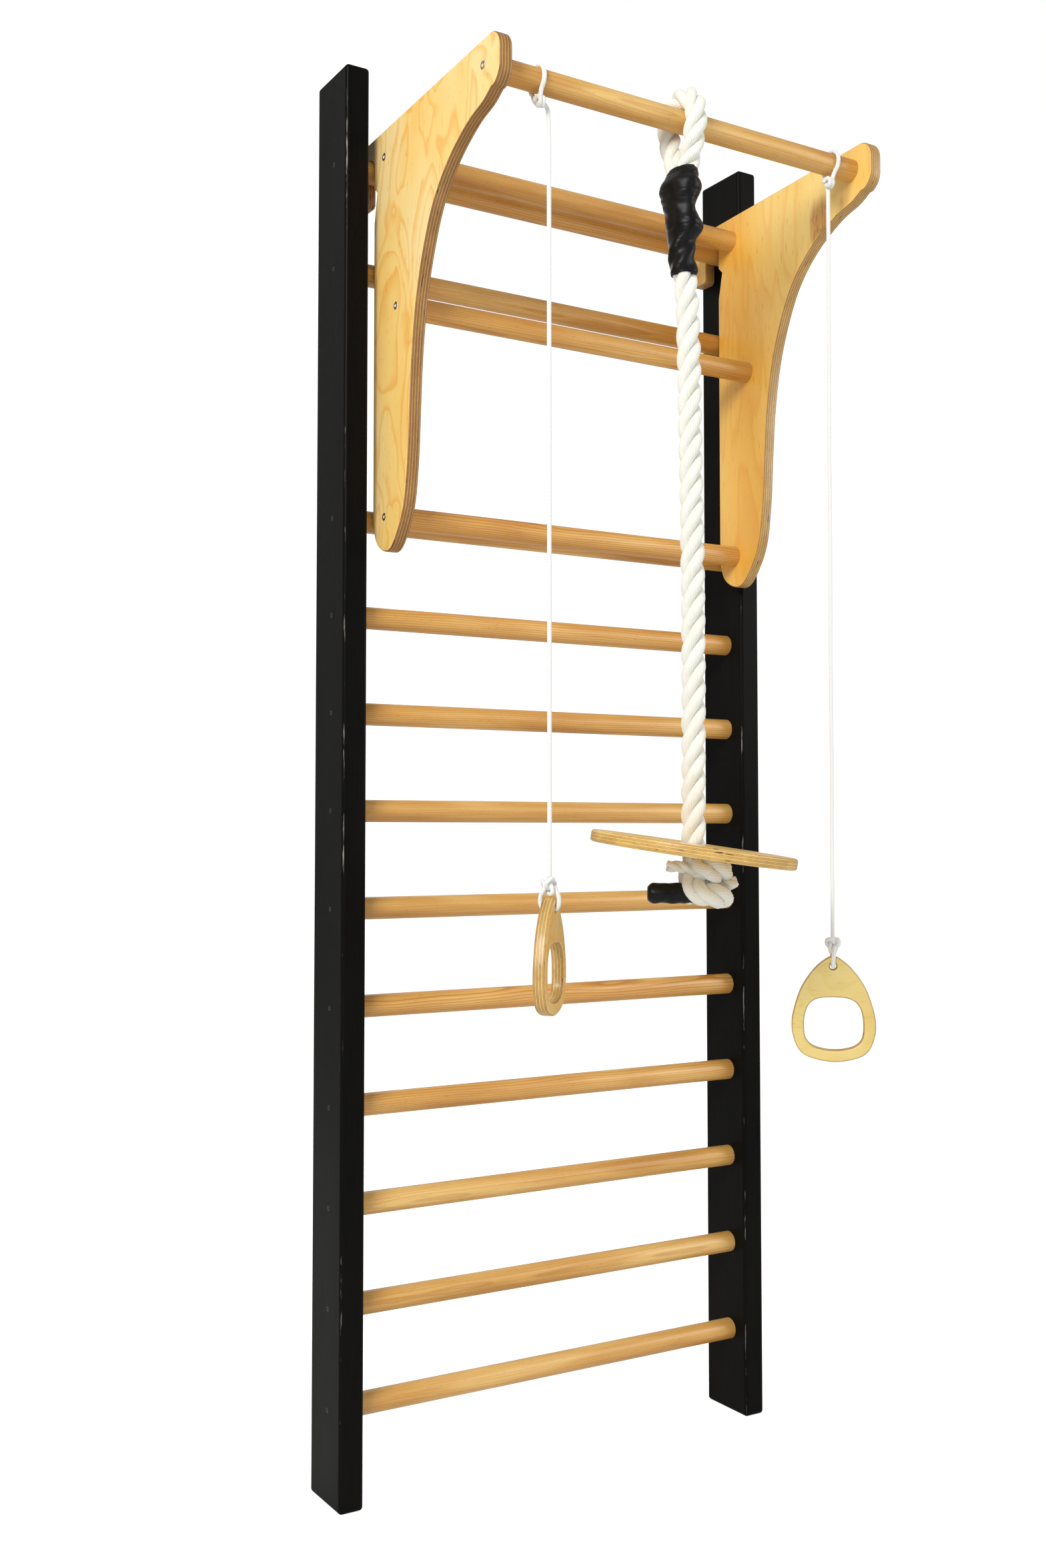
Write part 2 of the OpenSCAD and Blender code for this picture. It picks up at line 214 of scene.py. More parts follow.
# three twisted strands along a path, each with the ribs of its yarns
def laidRopeTree():
    sizes = {"Strand Radius": 0.0096, "Lay Radius": 0.0089, "Lay Length": 0.102, "Yarns": 13,
             "Yarn Depth": 0.03, "Yarn Twist": 0.082, "Step": 0.003}
    tree, given, sink = newTree("laidRope", sizes)
    line = addNode(tree, "GeometryNodeMeshToCurve", {"Mesh": given["Geometry"]}).outputs[0]
    line = stepped(tree, line, given["Step"])
    along = tree.nodes.new("GeometryNodeSplineParameter").outputs["Length"]
    factor = tree.nodes.new("GeometryNodeSplineParameter").outputs["Factor"]
    normal = tree.nodes.new("GeometryNodeInputNormal").outputs[0]
    tangent = tree.nodes.new("GeometryNodeInputTangent").outputs[0]
    side = vectors(tree, "CROSS_PRODUCT", tangent, normal)
    turns = shared(tree, along, given["Lay Length"])
    # the strand's cross-section, a circle with one rib for each yarn
    ring = addNode(tree, "GeometryNodeCurvePrimitiveCircle",
                   {"Resolution": 52, "Radius": given["Strand Radius"]}).outputs[0]
    ribs = maths(tree, "COSINE", times(tree, times(tree, factor, given["Yarns"]), math.tau))
    swell = plus(tree, 1.0, times(tree, ribs, given["Yarn Depth"]))
    place = tree.nodes.new("GeometryNodeInputPosition").outputs[0]
    ring = stored(tree, ring, "across", factor)
    ring = addNode(tree, "GeometryNodeSetPosition",
                   {"Geometry": ring, "Position": scaled(tree, place, swell)}).outputs[0]
    join = tree.nodes.new("GeometryNodeJoinGeometry")
    for strand in range(3):
        angle = times(tree, plus(tree, turns, strand / 3), math.tau)
        out = scaled(tree, normal, times(tree, maths(tree, "COSINE", angle), given["Lay Radius"]))
        over = scaled(tree, side, times(tree, maths(tree, "SINE", angle), given["Lay Radius"]))
        bent = stored(tree, line, "along", along)
        bent = addNode(tree, "GeometryNodeSetPosition",
                       {"Geometry": bent, "Offset": vectors(tree, "ADD", out, over)}).outputs[0]
        roll = times(tree, shared(tree, along, given["Yarn Twist"]), -math.tau)
        bent = addNode(tree, "GeometryNodeSetCurveTilt", {0: bent, "Tilt": roll}).outputs[0]
        body = tubed(tree, bent, ring)
        tree.links.new(body, join.inputs[0])
    closeTree(tree, join.outputs[0], given["Material"], sink)
    return tree


# a braided cord along a path: its surface rises where one strand of the braid lies over the other
def braidTree():
    sizes = {"Radius": 0.00325, "Sides": 16, "Braid Depth": 0.00022, "Braid Length": 0.011, "Step": 0.0012}
    tree, given, sink = newTree("braidedCord", sizes)
    line = addNode(tree, "GeometryNodeMeshToCurve", {"Mesh": given["Geometry"]}).outputs[0]
    line = stepped(tree, line, given["Step"])
    along = tree.nodes.new("GeometryNodeSplineParameter").outputs["Length"]
    factor = tree.nodes.new("GeometryNodeSplineParameter").outputs["Factor"]
    line = stored(tree, line, "along", along)
    ring = addNode(tree, "GeometryNodeCurvePrimitiveCircle",
                   {"Resolution": given["Sides"], "Radius": given["Radius"]}).outputs[0]
    ring = stored(tree, ring, "across", factor)
    skin = tubed(tree, line, ring)
    far = recalled(tree, "along")
    around = recalled(tree, "across")
    climb = times(tree, shared(tree, far, given["Braid Length"]), math.tau)
    turn = times(tree, around, 4 * math.tau)
    weave = times(tree, maths(tree, "SINE", plus(tree, turn, climb)),
                  maths(tree, "SINE", minus(tree, turn, climb)))
    lift = times(tree, weave, given["Braid Depth"])
    normal = tree.nodes.new("GeometryNodeInputNormal").outputs[0]
    skin = addNode(tree, "GeometryNodeSetPosition",
                   {"Geometry": skin, "Offset": scaled(tree, normal, lift)}).outputs[0]
    closeTree(tree, skin, given["Material"], sink)
    return tree


# round bars along X, one at each point, with a tone of its own on each
def dowelTree():
    tree, given, sink = newTree("dowels", {"Radius": 0.0175, "Length": 0.73, "Sides": 64, "Seed": 3})
    half = times(tree, given["Length"], 0.5)
    start = joined(tree, times(tree, half, -1.0))
    end = joined(tree, half)
    line = addNode(tree, "GeometryNodeCurvePrimitiveLine", {"Start": start, "End": end}).outputs[0]
    line = addNode(tree, "GeometryNodeResampleCurve", {"Curve": line, "Count": 12}, mode="COUNT").outputs[0]
    ring = addNode(tree, "GeometryNodeCurvePrimitiveCircle",
                   {"Resolution": given["Sides"], "Radius": given["Radius"]}).outputs[0]
    bar = tubed(tree, line, ring)
    spots = {"Points": given["Geometry"], "Instance": bar}
    bars = addNode(tree, "GeometryNodeInstanceOnPoints", spots).outputs[0]
    tone = addNode(tree, "FunctionNodeRandomValue", {"Seed": given["Seed"]}, data_type="FLOAT")
    place = tree.nodes.new("GeometryNodeInputPosition").outputs[0]
    bars = addNode(tree, "GeometryNodeStoreNamedAttribute",
                   {"Geometry": bars, "Name": "spot", "Value": place},
                   data_type="FLOAT_VECTOR", domain="INSTANCE").outputs[0]
    bars = addNode(tree, "GeometryNodeStoreNamedAttribute",
                   {"Geometry": bars, "Name": "tone", "Value": tone.outputs[1]},
                   data_type="FLOAT", domain="INSTANCE").outputs[0]
    closeTree(tree, bars, given["Material"], sink)
    return tree


# the head of a screw at each point, turned to face the way its point does
def screwTree(head):
    tree, given, sink = newTree("screwHeads", {"Size": 1.0})
    model = addNode(tree, "GeometryNodeObjectInfo", {"Object": head}).outputs["Geometry"]
    facing = addNode(tree, "GeometryNodeInputNamedAttribute", {"Name": "facing"},
                     data_type="FLOAT_VECTOR").outputs[0]
    turn = addNode(tree, "FunctionNodeAlignRotationToVector", {"Vector": facing}, axis="Z").outputs[0]
    heads = addNode(tree, "GeometryNodeInstanceOnPoints",
                    {"Points": given["Geometry"], "Instance": model, "Rotation": turn,
                     "Scale": given["Size"]}).outputs[0]
    closeTree(tree, heads, given["Material"], sink)
    return tree


# materials
def newMaterial(name):
    material = bpy.data.materials.new(name)
    material.use_nodes = True
    tree = material.node_tree
    return material, tree, tree.nodes["Principled BSDF"]


def ramp(tree, value, stops, smooth=False):
    node = addNode(tree, "ShaderNodeValToRGB", {"Fac": value})
    node.color_ramp.interpolation = "EASE" if smooth else "LINEAR"
    bands = node.color_ramp.elements
    while len(bands) < len(stops):
        bands.new(0.5)
    for band, (place, colour) in zip(bands, stops):
        band.position = place
        band.color = (*colour, 1) if len(colour) == 3 else colour
    return node.outputs[0]


def grey(level):
    return (level, level, level)


def mixed(tree, factor, first, second, way="MIX"):
    node = addNode(tree, "ShaderNodeMix", {0: factor, 6: first, 7: second}, data_type="RGBA", blend_type=way)
    return node.outputs[2]


def noiseAt(tree, vector, scale, detail=3.0, roughness=0.5, distortion=0.0):
    node = addNode(tree, "ShaderNodeTexNoise", {"Vector": vector, "Scale": scale, "Detail": detail,
                                                "Roughness": roughness, "Distortion": distortion})
    return node.outputs[0]


def objectPlace(tree):
    return tree.nodes.new("ShaderNodeTexCoord").outputs["Object"]


def split(tree, vector):
    return addNode(tree, "ShaderNodeSeparateXYZ", {0: vector}).outputs


def joined(tree, *values):
    return addNode(tree, "ShaderNodeCombineXYZ", dict(enumerate(values))).outputs[0]


def stretched(tree, vector, scale):
    return addNode(tree, "ShaderNodeMapping", {"Vector": vector, "Scale": scale}).outputs[0]


# object coordinates in the piece's own frame, then stretched
def placed(tree, centre=(0, 0, 0), turn=(0, 0, 0), stretch=(1, 1, 1)):
    place = objectPlace(tree)
    local = addNode(tree, "ShaderNodeMapping", {"Vector": place, "Location": centre, "Rotation": turn},
                    vector_type="TEXTURE").outputs[0]
    return stretched(tree, local, stretch)


def bumped(tree, shader, height, strength, distance):
    node = addNode(tree, "ShaderNodeBump", {"Height": height, "Strength": strength, "Distance": distance})
    tree.links.new(node.outputs[0], shader.inputs["Normal"])


def attribute(tree, name):
    return addNode(tree, "ShaderNodeAttribute", attribute_name=name).outputs["Fac"]


# satin black paint brushed over planed wood, the grain just showing, with a painted highlight along some
# corners
def blackPaint(inner, outer, front):
    material, tree, shader = newMaterial("blackPaint")
    grain = noiseAt(tree, placed(tree, stretch=(1, 1, 0.03)), 380, 4, 0.6)
    patches = noiseAt(tree, placed(tree, stretch=(1, 1, 0.3)), 9, 3, 0.55)
    tone = ramp(tree, grain, [(0.3, (0.0030, 0.0030, 0.0029)), (0.75, (0.0062, 0.0058, 0.0052))])
    dull = ramp(tree, patches, [(0.35, grey(0.002)), (0.7, (0.0075, 0.0068, 0.0052))])
    tone = mixed(tree, 0.35, tone, dull)
    # painted highlight: a broken bright line along two of the front corners, where the rounded edge would
    # catch the light; and a few faint scuffs
    parts = split(tree, objectPlace(tree))
    depth = maths(tree, "ABSOLUTE", minus(tree, parts[1], front))
    near = None
    for x in (outer, inner):
        spot = plus(tree, maths(tree, "ABSOLUTE", minus(tree, parts[0], x)), depth)
        near = spot if near is None else maths(tree, "MINIMUM", near, spot)
    highlightBreaks = noiseAt(tree, placed(tree, stretch=(1, 1, 0.12)), 70, 4, 0.7)
    edge = plus(tree, times(tree, minus(tree, near, 0.0034), 700.0), highlightBreaks)
    # the bright line is a painted highlight on the rounded corner
    line = ramp(tree, edge, [(0.50, grey(0.85)), (0.60, grey(0.0))])
    scuffs = ramp(tree, noiseAt(tree, placed(tree, stretch=(1, 1, 0.5)), 34, 5, 0.72),
                  [(0.70, grey(0.0)), (0.80, grey(0.4))])
    tone = mixed(tree, scuffs, tone, (0.03, 0.028, 0.024, 1))
    feed(tree, shader, {"Base Color": mixed(tree, line, tone, (0.34, 0.31, 0.26, 1)),
                        "Roughness": ramp(tree, patches, [(0.3, grey(0.30)), (0.7, grey(0.44))]),
                        "Specular IOR Level": 0.05})
    bumped(tree, shader, grain, 0.22, 0.0006)
    return material


# lacquered beech dowels, each turned from its own place in a log, so that its rings come out as long ovals
def beech(name, look):
    material, tree, shader = newMaterial(name)
    tone = attribute(tree, "tone")
    spot = addNode(tree, "ShaderNodeAttribute", attribute_name="spot").outputs["Vector"]
    place = vectors(tree, "SUBTRACT", objectPlace(tree), spot)
    own = joined(tree, times(tree, tone, 9.0))
    place = vectors(tree, "ADD", place, own)
    parts = split(tree, place)
    wander = noiseAt(tree, stretched(tree, place, (0.22, 1, 1)), 14, 2, 0.5)
    angle = times(tree, tone, 5.3)
    side = minus(tree, parts[1], times(tree, maths(tree, "COSINE", angle), look["logOut"]))
    rise = minus(tree, parts[2], times(tree, maths(tree, "SINE", angle), look["logOut"]))
    reach = maths(tree, "SQRT", plus(tree, times(tree, side, side), times(tree, rise, rise)))
    reach = plus(tree, reach, times(tree, wander, look["wander"]))
    ring = maths(tree, "FRACT", shared(tree, reach, look["ringWidth"]))
    streaks = noiseAt(tree, stretched(tree, place, (0.03, 1, 1)), 420, 3, 0.6)
    flecks = noiseAt(tree, stretched(tree, place, (0.13, 1, 1)), 850, 1, 0.5)
    broad = noiseAt(tree, stretched(tree, place, (0.12, 1, 1)), 26, 2, 0.5)
    base = ramp(tree, broad, [(0.30, look["light"]), (0.50, look["mid"]), (0.70, look["dark"])], True)
    late = ramp(tree, ring, [(0.0, grey(1.0)), (0.55, (0.97, 0.94, 0.90)), (0.90, look["ring"]),
                             (1.0, grey(1.0))])
    shown = ramp(tree, tone, [(0.0, grey(0.18)), (0.45, grey(0.38)), (0.8, grey(0.5)), (1.0, grey(0.95))])
    base = mixed(tree, shown, base, late, "MULTIPLY")
    fine = ramp(tree, streaks, [(0.35, (0.80, 0.75, 0.68)), (0.65, grey(1.0))])
    base = mixed(tree, 0.45, base, fine, "MULTIPLY")
    dots = ramp(tree, flecks, [(0.25, (0.50, 0.38, 0.28)), (0.33, grey(1.0))])
    base = mixed(tree, 0.5, base, dots, "MULTIPLY")
    warm = ramp(tree, tone, [(0.0, (1.06, 1.05, 1.04)), (0.35, (0.90, 0.84, 0.74)), (0.65, (1.0, 0.99, 0.95)),
                             (1.0, (0.96, 0.88, 0.76))])
    feed(tree, shader, {"Base Color": mixed(tree, 1.0, base, warm, "MULTIPLY"),
                        "Roughness": ramp(tree, streaks, [(0.3, grey(0.30)), (0.7, grey(0.44))]),
                        "Coat Weight": 0.18, "Coat Roughness": 0.25})
    bumped(tree, shader, streaks, 0.12, 0.0004)
    return material


# birch plywood: a rotary-cut face, and plies with dark glue lines on the edge
def plywood(name, board):
    material, tree, shader = newMaterial(name)
    turn = board["axes"].to_euler()
    local = placed(tree, board["centre"], turn)
    parts = split(tree, local)
    # face: contour lines of a slow field, long along the grain
    grain, across = parts[0], parts[1]
    sheet = joined(tree, times(tree, grain, board["stretch"]), across, board["veneer"])
    field = noiseAt(tree, sheet, board["figure"], 2, 0.4, 0.55)
    bands = maths(tree, "FRACT", times(tree, field, board["bands"]))
    clouds = noiseAt(tree, sheet, board["figure"] * 0.45, 2, 0.5)
    fibres = noiseAt(tree, stretched(tree, local, (0.05, 1, 1)), 650, 3, 0.6)
    face = ramp(tree, clouds, [(0.33, board["pale"]), (0.5, board["gold"]), (0.68, board["deep"])], True)
    line = ramp(tree, bands, [(0.0, grey(1.0)), (0.55, (0.99, 0.97, 0.93)), (0.90, board["line"]),
                              (1.0, grey(1.0))])
    face = mixed(tree, board["lineShown"], face, line, "MULTIPLY")
    face = mixed(tree, 0.35, face, ramp(tree, fibres, [(0.35, grey(0.86)), (0.62, grey(1.0))]), "MULTIPLY")
    if board["paintedShadow"]:
        # painted shadow cast by the pull-up bar and its cord: a dark orange patch with fine lines in it, on
        # the inner face only
        up, over, length, width = board["paintedShadow"]
        off = noiseAt(tree, sheet, 30.0, 3, 0.6)
        tall = maths(tree, "POWER", shared(tree, minus(tree, grain, up), length), 2.0)
        wide = maths(tree, "POWER", shared(tree, minus(tree, across, over), width), 2.0)
        far = plus(tree, plus(tree, tall, wide), times(tree, minus(tree, off, 0.5), 1.6))
        shadowMask = ramp(tree, far, [(0.35, grey(1.0)), (0.95, grey(0.0))])
        shadowTone = ramp(tree, maths(tree, "FRACT", times(tree, off, 9.0)),
                      [(0.0, (0.62, 0.27, 0.045)), (0.6, (0.50, 0.19, 0.025)), (0.9, (0.20, 0.06, 0.01)),
                       (1.0, (0.62, 0.27, 0.045))])
        inner = maths(tree, "LESS_THAN", parts[2], 0.0)
        shown = times(tree, times(tree, shadowMask, 0.75), inner)
        face = mixed(tree, shown, face, shadowTone)
    flecks = noiseAt(tree, stretched(tree, local, (0.16, 1, 1)), 330, 1, 0.5)
    dots = ramp(tree, flecks, [(0.24, (0.78, 0.52, 0.30)), (0.32, grey(1.0))])
    face = mixed(tree, 0.6, face, dots, "MULTIPLY")
    # edge: alternate plies, the cross-cut ones darker, with a thin glue line between two plies
    depth = shared(tree, plus(tree, parts[2], 10.0), board["ply"])
    within = maths(tree, "FRACT", depth)
    odd = maths(tree, "FRACT", times(tree, maths(tree, "FLOOR", depth), 0.5))
    crumbs = noiseAt(tree, stretched(tree, local, (1, 1, 6)), 160, 3, 0.65)
    plies = mixed(tree, times(tree, odd, 2.0), board["plyLight"], board["plyDark"])
    plies = mixed(tree, 0.75, plies, ramp(tree, crumbs, [(0.3, grey(0.62)), (0.6, grey(1.0))]), "MULTIPLY")
    uneven = noiseAt(tree, stretched(tree, local, (1, 1, 3)), 22, 2, 0.5)
    glue = ramp(tree, within, [(0.0, board["glue"]), (0.14, grey(1.0)), (0.87, grey(1.0)),
                               (1.0, board["glue"])])
    plies = mixed(tree, ramp(tree, uneven, [(0.36, grey(0.25)), (0.55, grey(1.0))]), plies, glue, "MULTIPLY")
    drift = ramp(tree, uneven, [(0.35, (1.0, 0.95, 0.84)), (0.65, (0.86, 0.72, 0.52))])
    plies = mixed(tree, 0.55, plies, drift, "MULTIPLY")
    # voids in the cross-cut plies: real gaps, given a shallow dent, and painted near black as the shade inside
    # them
    voids = noiseAt(tree, stretched(tree, local, (1, 1, 5)), 38, 1, 0.5)
    hole = times(tree, ramp(tree, voids, [(0.70, grey(0.0)), (0.73, grey(1.0))]), odd)
    plies = mixed(tree, times(tree, hole, 1.8), plies, (0.045, 0.018, 0.006, 1))
    # which of the two shows: the face, down to where its rounded edge starts to turn over
    sunk = minus(tree, board["half"], maths(tree, "ABSOLUTE", parts[2]))
    onFace = ramp(tree, shared(tree, sunk, board["rounding"]), [(0.07, grey(1.0)), (0.14, grey(0.0))])
    feed(tree, shader, {"Base Color": mixed(tree, onFace, plies, face),
                        "Roughness": mixed(tree, onFace, (0.5, 0.5, 0.5, 1), (0.33, 0.33, 0.33, 1)),
                        "Coat Weight": 0.3, "Coat Roughness": 0.25})
    relief = minus(tree, fibres, times(tree, hole, 3.0))
    bumped(tree, shader, relief, 0.15, 0.0004)
    return material


# undyed laid rope: soft fibres along each strand, shaded in the grooves
def ropeFibre():
    material, tree, shader = newMaterial("ropeFibre")
    line = joined(tree, attribute(tree, "across"), attribute(tree, "along"))
    hairs = noiseAt(tree, stretched(tree, line, (60, 45, 1)), 1.0, 4, 0.65)
    soft = noiseAt(tree, objectPlace(tree), 45, 3, 0.5)
    base = ramp(tree, hairs, [(0.28, (0.78, 0.77, 0.68)), (0.6, (0.90, 0.90, 0.83))])
    shade = ramp(tree, soft, [(0.35, (0.95, 0.935, 0.89)), (0.65, grey(1.0))])
    feed(tree, shader, {"Base Color": mixed(tree, 0.5, base, shade, "MULTIPLY"), "Roughness": 0.86,
                        "Sheen Weight": 0.35, "Subsurface Weight": 0.12,
                        "Subsurface Radius": (0.006, 0.005, 0.004)})
    bumped(tree, shader, hairs, 0.5, 0.0007)
    return material


# white braided cord
def cordFibre():
    material, tree, shader = newMaterial("cordFibre")
    line = joined(tree, attribute(tree, "across"), attribute(tree, "along"))
    threads = noiseAt(tree, stretched(tree, line, (50, 900, 1)), 1.0, 2, 0.6)
    tree.links.new(ramp(tree, threads, [(0.3, (0.70, 0.70, 0.67)), (0.6, (0.89, 0.89, 0.87))]),
                   shader.inputs["Base Color"])
    feed(tree, shader, {"Roughness": 0.7, "Sheen Weight": 0.25})
    bumped(tree, shader, threads, 0.4, 0.0003)
    return material


# glossy black shrink tube with fine creases
def shrinkSleeve():
    material, tree, shader = newMaterial("shrinkSleeve")
    creases = noiseAt(tree, placed(tree, stretch=(1, 1, 0.5)), 75, 3, 0.5, 0.6)
    tone = ramp(tree, creases, [(0.3, grey(0.0035)), (0.7, grey(0.009))])
    feed(tree, shader, {"Base Color": tone,
                        "Roughness": ramp(tree, creases, [(0.3, grey(0.30)), (0.7, grey(0.42))]),
                        "Specular IOR Level": 0.16})
    bumped(tree, shader, creases, 0.16, 0.0006)
    return material


# screw heads: bright plate, with darker and lighter fine scratches
def metal(name, light, dark, roughness, metallic):
    material, tree, shader = newMaterial(name)
    scratches = noiseAt(tree, placed(tree, stretch=(1, 1, 0.2)), 900, 3, 0.6)
    tree.links.new(ramp(tree, scratches, [(0.3, dark), (0.65, light)]), shader.inputs["Base Color"])
    tree.links.new(ramp(tree, scratches, [(0.3, grey(roughness * 1.5)), (0.7, grey(roughness))]),
                   shader.inputs["Roughness"])
    shader.inputs["Metallic"].default_value = metallic
    bumped(tree, shader, scratches, 0.1, 0.0002)
    return material


materials = {
    "paint": blackPaint(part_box("right_post")[0].x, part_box("left_post")[0].x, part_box("left_post")[0].y),
    "rungs": beech("lacqueredBeech", {"light": (0.84, 0.55, 0.190), "mid": (0.73, 0.42, 0.115),
                                      "dark": (0.60, 0.300, 0.060), "ring": (0.66, 0.45, 0.26),
                                      "logOut": 0.052, "wander": 0.016, "ringWidth": 0.0034}),
    "rope": ropeFibre(),
    "cord": cordFibre(),
    "sleeve": shrinkSleeve(),
    "zinc": metal("zincPlate", grey(0.62), grey(0.34), 0.26, 1.0),
    "darkScrew": metal("paintedScrew", grey(0.02), grey(0.008), 0.4, 0.0),
}
print("materials ready")

# ropes and cords: routes from the bar's axis, in millimetres as in the part
bar = middle("pull_up_bar")
barLow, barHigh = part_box("pull_up_bar")
barRadius = (barHigh.z - barLow.z) / 2
ropeTree = laidRopeTree()
cordTree = braidTree()

swing = {
    "x": bar.x + 0.0075,
    "diameter": 0.037,
    "eyeX": -0.0145,
    "route": [(-14, -222), (-9, -250), (-6, -290), (-4, -360), (-3, -440), (-1.5, -520), (0, -600), (1, -680),
              (1.5, -760), (1.5, -840), (1, -920), (0.5, -990), (0, -1040), (0, -1075), (0, -1097.2)],
    "strands": {"Strand Radius": 0.0085, "Lay Radius": 0.0096, "Lay Length": 0.102, "Yarn Depth": 0.03},
    "eyeStrands": {"Strand Radius": 0.0080, "Lay Radius": 0.0089, "Lay Length": 0.088, "Yarn Depth": 0.03},
}


def overBar(x0, x1, radius, first, last, count):
    points = []
    for i in range(count + 1):
        angle = math.radians(first + (last - first) * i / count)
        points.append(Vector((x0 + (x1 - x0) * i / count, bar.y - radius * math.cos(angle),
                              bar.z + radius * math.sin(angle))))
    return points


def fromBar(x, route):
    return [Vector((x + p[0] * mm, bar.y + p[1] * mm, bar.z + p[2] * mm)) for p in route]


# parents a piece to the empty of the body it rides on, and hides the nodes it stands for
def register(piece, body, slot, *nodes):
    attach(piece, body)
    if nodes:
        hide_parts(*nodes)
    return piece


def ropePiece(name, points, body, nodes, sizes):
    piece = runTree(pathObject(smoothPath(points, 0.004)), ropeTree, name, materials["rope"], sizes)
    return register(piece, body, "cotton_rope", *nodes)


def cordPiece(name, points, body, node):
    piece = runTree(pathObject(smoothPath(points, 0.0015)), cordTree, name, materials["cord"], {})
    return register(piece, body, "braided_cord", node)


ropeRoute = fromBar(swing["x"], [(x, 0, z) for x, z in swing["route"]])
swingRope = ropePiece("swingRope", ropeRoute, "rope", ["swing_rope"], swing["strands"])

eyeRadius = barRadius + 0.0172
eyeX = swing["x"] + swing["eyeX"]
eyeRoute = (fromBar(eyeX, [(-3, -11, -114), (-1, -12, -90), (0, -13, -72), (1, -20, -52), (0, -29, -30)])
            + overBar(eyeX, eyeX, eyeRadius, -10, 190, 14)
            + fromBar(eyeX, [(0, 29, -30), (0, 20, -52), (-1, 13, -72), (-2, 12, -90), (-4, 11, -114)]))
ropePiece("ropeEye", eyeRoute, "rope", ["rope_eye"], swing["eyeStrands"])

cordRadius = 0.00325
cords = {
    "left": {"x": barLow.x + 0.088, "loop": (-0.021, -0.019), "first": (-23, -13, -29), "drop": 1171,
             "route": [(-20, 7, -27), (-16, 2, -34), (-9, -1, -32), (-3, -1, -38), (-1, 0, -50), (0, 0, -70),
                       (0, 0, -160), (0, 0, -300), (0, 0, -460), (0, 0, -620), (0, 0, -780), (0, 0, -940)],
             "turn": 44},
    "right": {"x": barHigh.x - 0.053, "loop": (0.006, 0.014), "first": (2, -12, -29), "drop": 1273,
              "route": [(9, 8, -27), (5, 3, -36), (4, 0, -46), (4, 0, -70), (4, 0, -160), (3, 0, -300),
                        (2, 0, -460), (2, 0, -620), (1, 0, -780), (1, 0, -940), (0, 0, -1100)],
              "turn": -40},
}
gripThickness = 0.018
loopOut = gripThickness / 2 * 1000 + 3.25 + 1
gripLoop = [(3, -6, 30), (1, -loopOut + 1, 18), (0, -loopOut, 8), (0, -loopOut + 2.5, 1), (0, -8, 0),
            (0, 0, 0), (0, 8, 0), (0, loopOut - 2.5, 1), (0, loopOut, 8), (-1, loopOut - 1, 18), (-3, 6, 30),
            (2, 10, 38), (12, 12, 34), (24, 13, 28), (36, 14, 22)]
gripKnot = {"up": 33, "across": 3.4, "tall": 4.3, "deep": 4.16, "steps": 72}
barKnot = {"wide": 12, "radius": 5.6, "turns": 2.1, "steps": 60,
           "left": (-19.5, -7.5, -32), "right": (1, -6, -32)}


def gripFrame(side):
    c = cords[side]
    return (Matrix.Translation(Vector((c["x"], bar.y, bar.z - c["drop"] * mm)))
            @ Matrix.Rotation(math.radians(c["turn"]), 4, "Z"))


def buildCord(side):
    c = cords[side]
    over = overBar(c["x"] + c["loop"][0], c["x"] + c["loop"][1], barRadius + cordRadius + 0.0003, -50, 230, 14)
    intoKnot = (0, 0, -c["drop"] + gripKnot["up"] + 5)
    route = fromBar(c["x"], [c["first"]]) + over + fromBar(c["x"], c["route"] + [intoKnot])
    piece = cordPiece(side + "Cord", route, side + "_cord", side + "_cord")
    frameAt = gripFrame(side)
    tail = gripLoop if side == "left" else gripLoop[:-3]
    cordPiece(side + "GripLoop", [frameAt @ (Vector(p) * mm) for p in tail], side + "_loop",
              side + "_grip_loop")
    trefoil = []
    for i in range(gripKnot["steps"] + 1):
        t = math.tau * i / gripKnot["steps"]
        bend = Vector((gripKnot["across"] * (math.sin(t) + 2 * math.sin(2 * t)),
                       -1 - gripKnot["deep"] * math.sin(3 * t),
                       gripKnot["up"] + gripKnot["tall"] * (math.cos(t) - 2 * math.cos(2 * t))))
        trefoil.append(frameAt @ (bend * mm))
    cordPiece(side + "GripKnot", trefoil, side + "_loop", side + "_grip_knot")
    centre = barKnot[side]
    wraps = []
    for i in range(barKnot["steps"] + 1):
        t = i / barKnot["steps"]
        angle = math.tau * barKnot["turns"] * t
        wraps.append((centre[0] + barKnot["wide"] * (t - 0.5),
                      centre[1] + barKnot["radius"] * math.cos(angle),
                      centre[2] + barKnot["radius"] * math.sin(angle)))
    cordPiece(side + "BarKnot", fromBar(c["x"], wraps), side + "_cord", side + "_bar_knot")


buildCord("left")
buildCord("right")
print("ropes and cords ready")

# the knot under the seat, and the black sleeves
seat = {"drop": 1.0905, "tilt": 8.4, "lowSide": -40, "across": 0.306, "thick": 0.018, "hole": 0.044}
seatCentre = Vector((swing["x"], bar.y, bar.z - seat["drop"]))

knot = {
    "heading": -31,
    "middle": 0.0185,        # from the rope's axis to the middle of the turns
    "turn": 0.0228,          # radius of a turn
    "levels": (-0.0290, -0.0655),
    "lean": (0.0040, 0.0028),
    "strands": {"Strand Radius": 0.0088, "Lay Radius": 0.0097, "Lay Length": 0.088, "Yarn Depth": 0.045},
    "tuck": (-0.002, 0.010, -0.0640),      # where the rope's end goes back into the knot
    "heart": (-0.018, -0.045, -0.074),     # a straight run of rope that fills the turns
    "ends": [[(-0.006, -0.010, -0.028), (-0.022, -0.014, -0.025), (-0.040, -0.014, -0.024)],
             [(0.040, -0.004, -0.050), (0.052, -0.012, -0.050), (0.061, -0.014, -0.047)]],
    "endStrands": {"Strand Radius": 0.0046, "Lay Radius": 0.0042, "Lay Length": 0.05, "Yarn Depth": 0.05},
}


